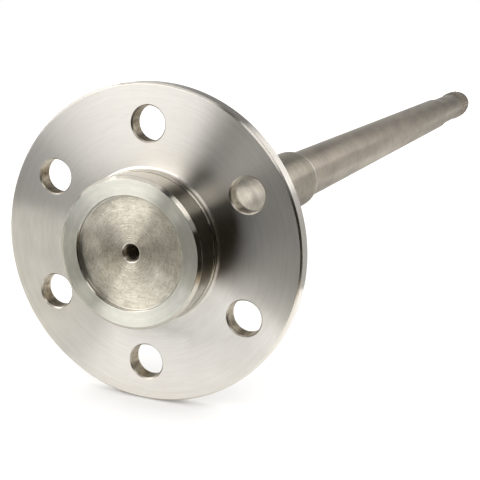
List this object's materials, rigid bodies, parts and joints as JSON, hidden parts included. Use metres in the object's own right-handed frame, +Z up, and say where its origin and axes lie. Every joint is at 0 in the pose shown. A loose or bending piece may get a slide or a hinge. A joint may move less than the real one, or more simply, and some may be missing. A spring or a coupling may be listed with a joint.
{
  "type": "axle shaft",
  "caption": "Forged steel rear axle shaft with a round wheel flange, ring of stud holes, recessed pilot boss, ground journal, long round shaft and splined end with a clip groove.",
  "frame": {"origin": "centre of the stud circle, on the wheel face of the flange", "axes": "+Y along the shaft from the wheel face to the splined end, +Z up through one stud hole, +X to the right seen from the wheel side"},
  "size_m": [0.1523, 0.8783, 0.1524],
  "materials": {
    "steel": "bare turned steel, satin to bright"
  },
  "bodies": {
    "root": {"axle_shaft": "steel"}
  },
  "joints": []
}
